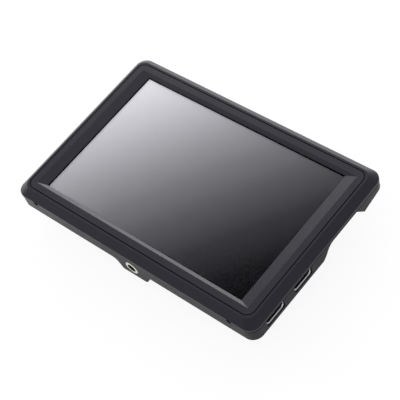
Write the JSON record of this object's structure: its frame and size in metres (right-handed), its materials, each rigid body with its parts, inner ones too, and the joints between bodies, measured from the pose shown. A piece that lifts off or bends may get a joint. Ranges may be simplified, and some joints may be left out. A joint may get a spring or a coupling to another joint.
{
  "type": "camera field monitor",
  "caption": "Flat camera-top video monitor with a sloped black casing, a tripod thread in its lower edge, wide video sockets in one side and a slide-on battery plate behind.",
  "frame": {"origin": "middle of the resting plane, the rear face of the battery plate", "axes": "+X to the right of the picture, +Y to its top, +Z out of the screen"},
  "size_m": [0.1852, 0.1202, 0.0316],
  "materials": {
    "casing_plastic": "fine moulded texture, black",
    "bezel_plastic": "fine moulded texture, black",
    "cover_plastic": "fine moulded texture, black",
    "plate_plastic": "fine moulded texture, black",
    "key_plastic": "satin, black",
    "screen_glass": "anti-reflection coated",
    "panel_glass": "dark, unlit",
    "clear_plastic": "clear",
    "white_film": "matte white film",
    "sheet_steel": "plain rolled",
    "screw_steel": "black oxide",
    "nickel": "nickel plate",
    "insert_metal": "turned and plated",
    "board_laminate": "green solder mask",
    "chip_epoxy": "black epoxy",
    "pad_silicone": "soft, matte",
    "sink_aluminium": "black anodised",
    "socket_insulator": "moulded",
    "contact_metal": "gold flash",
    "flat_cable": "amber film",
    "speaker_frame": "moulded, with a paper cone",
    "spring_steel": "drawn wire"
  },
  "bodies": {
    "housing": {"front_casing": "casing_plastic", "screen_bezel": "bezel_plastic", "cover_glass": "screen_glass", "lcd_cell": "panel_glass", "backlight_tray": "sheet_steel", "light_guide": "clear_plastic", "diffuser_sheets": "white_film", "led_strip": "white_film", "panel_brackets": "sheet_steel", "panel_screws": "screw_steel", "rear_cover": "cover_plastic", "cover_screws": "screw_steel", "mount_insert": "insert_metal", "mount_bracket": "sheet_steel", "bracket_screws": "screw_steel", "main_board": "board_laminate", "processor": "chip_epoxy", "memory_chips": "chip_epoxy", "thermal_pad": "pad_silicone", "heat_sink": "sink_aluminium", "video_in_socket": "nickel", "video_in_tongue": "socket_insulator", "video_out_socket": "nickel", "video_out_tongue": "socket_insulator", "side_board": "board_laminate", "power_socket": "nickel", "power_socket_tongue": "socket_insulator", "headphone_jack": "socket_insulator", "board_screws": "screw_steel", "speaker": "speaker_frame", "key_board": "board_laminate", "key_switches": "chip_epoxy", "power_light_pipe": "clear_plastic", "panel_flex": "flat_cable", "key_flex": "flat_cable", "battery_plate": "plate_plastic", "battery_plate_screws": "screw_steel", "contact_block": "socket_insulator", "contact_blades": "contact_metal", "battery_lead": "flat_cable", "release_spring": "spring_steel"},
    "power_key": {"power_key": "key_plastic"},
    "input_key": {"input_key": "key_plastic"},
    "menu_key": {"menu_key": "key_plastic"},
    "down_key": {"down_key": "key_plastic"},
    "up_key": {"up_key": "key_plastic"},
    "function_key_1": {"function_key_1": "key_plastic"},
    "function_key_2": {"function_key_2": "key_plastic"},
    "release": {"battery_release": "key_plastic"}
  },
  "joints": [
    {"name": "power_key_press", "type": "slide", "parent": "housing", "child": "power_key", "axis": [0, -1, 0], "range_m": [0, 0.0005], "stiffness_N_per_m": 500},
    {"name": "input_key_press", "type": "slide", "parent": "housing", "child": "input_key", "axis": [0, -1, 0], "range_m": [0, 0.0005], "stiffness_N_per_m": 500},
    {"name": "menu_key_press", "type": "slide", "parent": "housing", "child": "menu_key", "axis": [0, -1, 0], "range_m": [0, 0.0005], "stiffness_N_per_m": 500},
    {"name": "down_key_press", "type": "slide", "parent": "housing", "child": "down_key", "axis": [0, -1, 0], "range_m": [0, 0.0005], "stiffness_N_per_m": 500},
    {"name": "up_key_press", "type": "slide", "parent": "housing", "child": "up_key", "axis": [0, -1, 0], "range_m": [0, 0.0005], "stiffness_N_per_m": 500},
    {"name": "function_key_1_press", "type": "slide", "parent": "housing", "child": "function_key_1", "axis": [0, -1, 0], "range_m": [0, 0.0005], "stiffness_N_per_m": 500},
    {"name": "function_key_2_press", "type": "slide", "parent": "housing", "child": "function_key_2", "axis": [0, -1, 0], "range_m": [0, 0.0005], "stiffness_N_per_m": 500},
    {"name": "battery_release_press", "type": "slide", "parent": "housing", "child": "release", "axis": [0, 0, 1], "range_m": [0, 0.002], "stiffness_N_per_m": 600, "deforming": ["release_spring"]}
  ]
}
